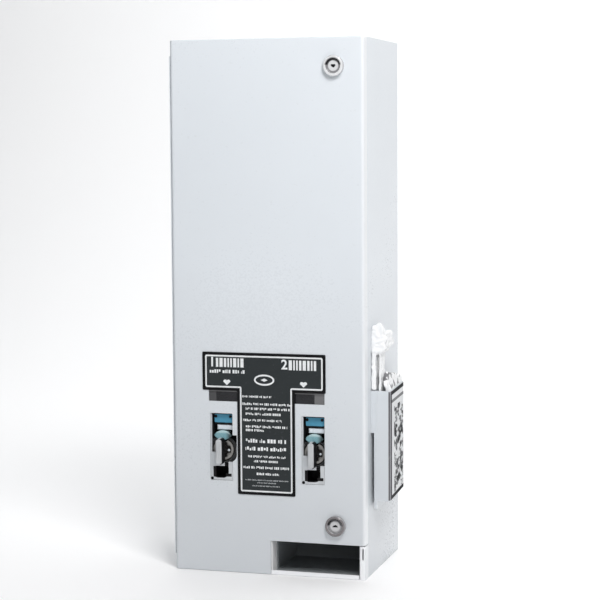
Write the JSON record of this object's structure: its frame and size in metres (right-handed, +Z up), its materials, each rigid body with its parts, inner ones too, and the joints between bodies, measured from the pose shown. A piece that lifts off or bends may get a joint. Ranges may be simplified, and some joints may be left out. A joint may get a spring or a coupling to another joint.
{
  "type": "vending machine",
  "caption": "Tall wall-mounted coin vending machine with a hinged locking door, turn-knob coin mechanisms, a corner delivery tray and a side bag holder.",
  "frame": {"origin": "middle of the cabinet's base, half way between the closed door's face and the wall", "axes": "+X to the right of someone facing the door, +Y from the door to the wall, +Z up"},
  "size_m": [0.2848, 0.1972, 0.68],
  "materials": {
    "white_enamel": "smooth white enamel on sheet steel",
    "galvanised": "dull zinc-coated sheet steel",
    "dark_enamel": "dark satin enamel",
    "black_plate": "black anodised plate, satin",
    "lock_chrome": "bright chrome plate",
    "steel": "bright zinc-plated steel",
    "cast_zinc": "black enamel on a zinc casting",
    "wheel_metal": "dark turned steel",
    "grip_plastic": "light grey moulded plastic",
    "slot_white": "white moulded plastic",
    "price_blue": "teal-blue moulded plastic",
    "guide_teal": "pale teal-grey moulded plastic",
    "casting_grey": "light satin enamel on a zinc casting",
    "window_clear": "clear acrylic sheet",
    "bracket_grey": "light grey enamel",
    "gear_brass": "cut brass",
    "weight_iron": "grey enamel on cast iron",
    "bag_film": "white printed film, glossy",
    "label_card": "laminated card",
    "screw_dark": "blackened steel"
  },
  "bodies": {
    "cabinet": {"cabinet_body": "white_enamel", "cabinet_top": "white_enamel", "cabinet_floor": "white_enamel", "hinge_leaf_cabinet": "white_enamel", "hinge_pin": "steel", "mech_plate": "galvanised", "slide_studs": "steel", "delivery_chute": "galvanised", "delivery_tray": "dark_enamel", "coin_box": "galvanised", "coin_trough": "galvanised", "coin_mech_left": "cast_zinc", "mech_front_left": "casting_grey", "slot_bar_left": "slot_white", "price_plate_left": "price_blue", "coin_guide_left": "guide_teal", "coin_mech_right": "cast_zinc", "mech_front_right": "casting_grey", "slot_bar_right": "slot_white", "price_plate_right": "price_blue", "coin_guide_right": "guide_teal", "price_screws": "screw_dark", "magazine_left": "galvanised", "magazine_right": "galvanised", "holder_bracket": "white_enamel", "holder_screws": "steel", "bag_holder": "white_enamel", "holder_label": "label_card", "bag_bundle_outer": "bag_film", "bag_bundle_inner": "bag_film"},
    "door": {"door_skin": "white_enamel", "door_stiffener": "galvanised", "hinge_leaf_door": "white_enamel", "instruction_plate": "black_plate", "window_pane_left": "window_clear", "window_pane_right": "window_clear", "window_bracket_left": "bracket_grey", "window_bracket_right": "bracket_grey", "lock_body_upper": "lock_chrome", "lock_body_lower": "lock_chrome", "lock_nuts": "steel"},
    "lock_upper": {"lock_plug_upper": "lock_chrome", "lock_cam_upper": "steel", "cam_screw_upper": "steel"},
    "lock_lower": {"lock_plug_lower": "lock_chrome", "lock_cam_lower": "steel", "cam_screw_lower": "steel"},
    "knob_left": {"knob_shaft_left": "steel", "coin_wheel_left": "wheel_metal", "knob_grip_left": "grip_plastic", "drive_pinion_left": "gear_brass"},
    "slide_left": {"vend_slide_left": "galvanised"},
    "weight_left": {"follower_weight_left": "weight_iron"},
    "knob_right": {"knob_shaft_right": "steel", "coin_wheel_right": "wheel_metal", "knob_grip_right": "grip_plastic", "drive_pinion_right": "gear_brass"},
    "slide_right": {"vend_slide_right": "galvanised"},
    "weight_right": {"follower_weight_right": "weight_iron"}
  },
  "joints": [
    {"name": "door_hinge", "type": "hinge", "parent": "cabinet", "child": "door", "pos_m": [-0.12995, -0.076, 0.34], "axis": [0, 0, -1], "range_deg": [0, 110]},
    {"name": "upper_lock_turn", "type": "hinge", "parent": "door", "child": "lock_upper", "pos_m": [0.089, -0.08, 0.6442], "axis": [0, -1, 0], "range_deg": [0, 90]},
    {"name": "lower_lock_turn", "type": "hinge", "parent": "door", "child": "lock_lower", "pos_m": [0.089, -0.08, 0.068], "axis": [0, 1, 0], "range_deg": [0, 90]},
    {"name": "left_knob_turn", "type": "hinge", "parent": "cabinet", "child": "knob_left", "pos_m": [-0.0624, -0.08, 0.158], "axis": [0, 1, 0], "range_deg": [0, 180]},
    {"name": "left_vend_slide", "type": "slide", "parent": "cabinet", "child": "slide_left", "axis": [1, 0, 0], "range_m": [0, 0.02262]},
    {"name": "left_weight_drop", "type": "slide", "parent": "cabinet", "child": "weight_left", "axis": [0, 0, 1], "range_m": [0, 0.4]},
    {"name": "right_knob_turn", "type": "hinge", "parent": "cabinet", "child": "knob_right", "pos_m": [0.0596, -0.08, 0.158], "axis": [0, 1, 0], "range_deg": [0, 180]},
    {"name": "right_vend_slide", "type": "slide", "parent": "cabinet", "child": "slide_right", "axis": [1, 0, 0], "range_m": [0, 0.02262]},
    {"name": "right_weight_drop", "type": "slide", "parent": "cabinet", "child": "weight_right", "axis": [0, 0, 1], "range_m": [0, 0.4]}
  ],
  "couplings": [
    {"joint": "left_knob_turn", "follows": "left_vend_slide", "rad_per_m": 138.89},
    {"joint": "right_knob_turn", "follows": "right_vend_slide", "rad_per_m": 138.89}
  ]
}
